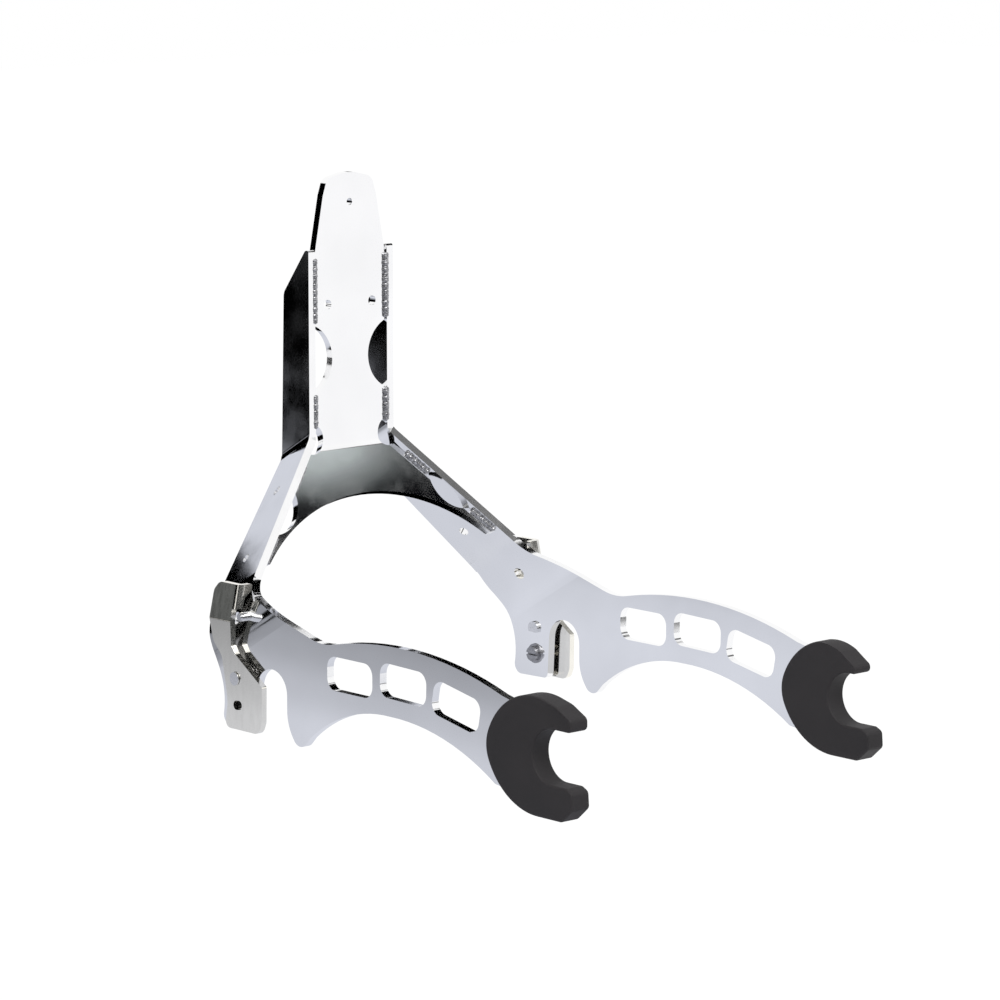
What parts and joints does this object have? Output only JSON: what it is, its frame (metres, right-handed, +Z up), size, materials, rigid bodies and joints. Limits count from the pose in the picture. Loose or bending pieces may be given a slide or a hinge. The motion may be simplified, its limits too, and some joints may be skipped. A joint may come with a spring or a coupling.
{
  "type": "motorcycle passenger backrest upright",
  "caption": "Detachable passenger backrest frame of flat chromed plate: tapered upright with arched bridge on bent side arms with slots, rubber dock jaws and sprung latches.",
  "frame": {"origin": "on the axis of the two front docks, midway between the arms", "axes": "+X from the right arm to the left arm along the docks, -Y forward, the way the passenger faces, +Z up"},
  "size_m": [0.3014, 0.4276, 0.3919],
  "materials": {
    "chrome_plate": "polished",
    "chrome_weld": "rippled weld bead under the plating",
    "chrome_hardware": "polished",
    "steel_hardware": "zinc plated",
    "bush_plastic": "matte",
    "jaw_rubber": "matte"
  },
  "bodies": {
    "frame": {"centre_plate": "chrome_plate", "side_plate_left": "chrome_plate", "jaw_left": "jaw_rubber", "pivot_pin_left": "chrome_hardware", "latch_bush_left": "bush_plastic", "guide_bolt_left": "steel_hardware", "guide_washer_left": "steel_hardware", "stop_post_left": "chrome_hardware", "latch_spring_left": "steel_hardware", "upright_weld_left": "chrome_weld", "bridge_weld_left": "chrome_weld", "side_plate_right": "chrome_plate", "jaw_right": "jaw_rubber", "pivot_pin_right": "chrome_hardware", "latch_bush_right": "bush_plastic", "guide_bolt_right": "steel_hardware", "guide_washer_right": "steel_hardware", "stop_post_right": "chrome_hardware", "latch_spring_right": "steel_hardware", "upright_weld_right": "chrome_weld", "bridge_weld_right": "chrome_weld"},
    "latch_left": {"latch_lever_left": "chrome_plate"},
    "latch_right": {"latch_lever_right": "chrome_plate"}
  },
  "joints": [
    {"name": "latch_left_pivot", "type": "hinge", "parent": "frame", "child": "latch_left", "pos_m": [0.1473, 0.3265, 0.004], "axis": [1, 0, 0], "range_deg": [0, 8.5], "stiffness_Nm_per_rad": 0.3, "springref_deg": -20.05},
    {"name": "latch_right_pivot", "type": "hinge", "parent": "frame", "child": "latch_right", "pos_m": [-0.1473, 0.3265, 0.004], "axis": [1, 0, 0], "range_deg": [0, 8.5], "stiffness_Nm_per_rad": 0.3, "springref_deg": -20.05}
  ]
}
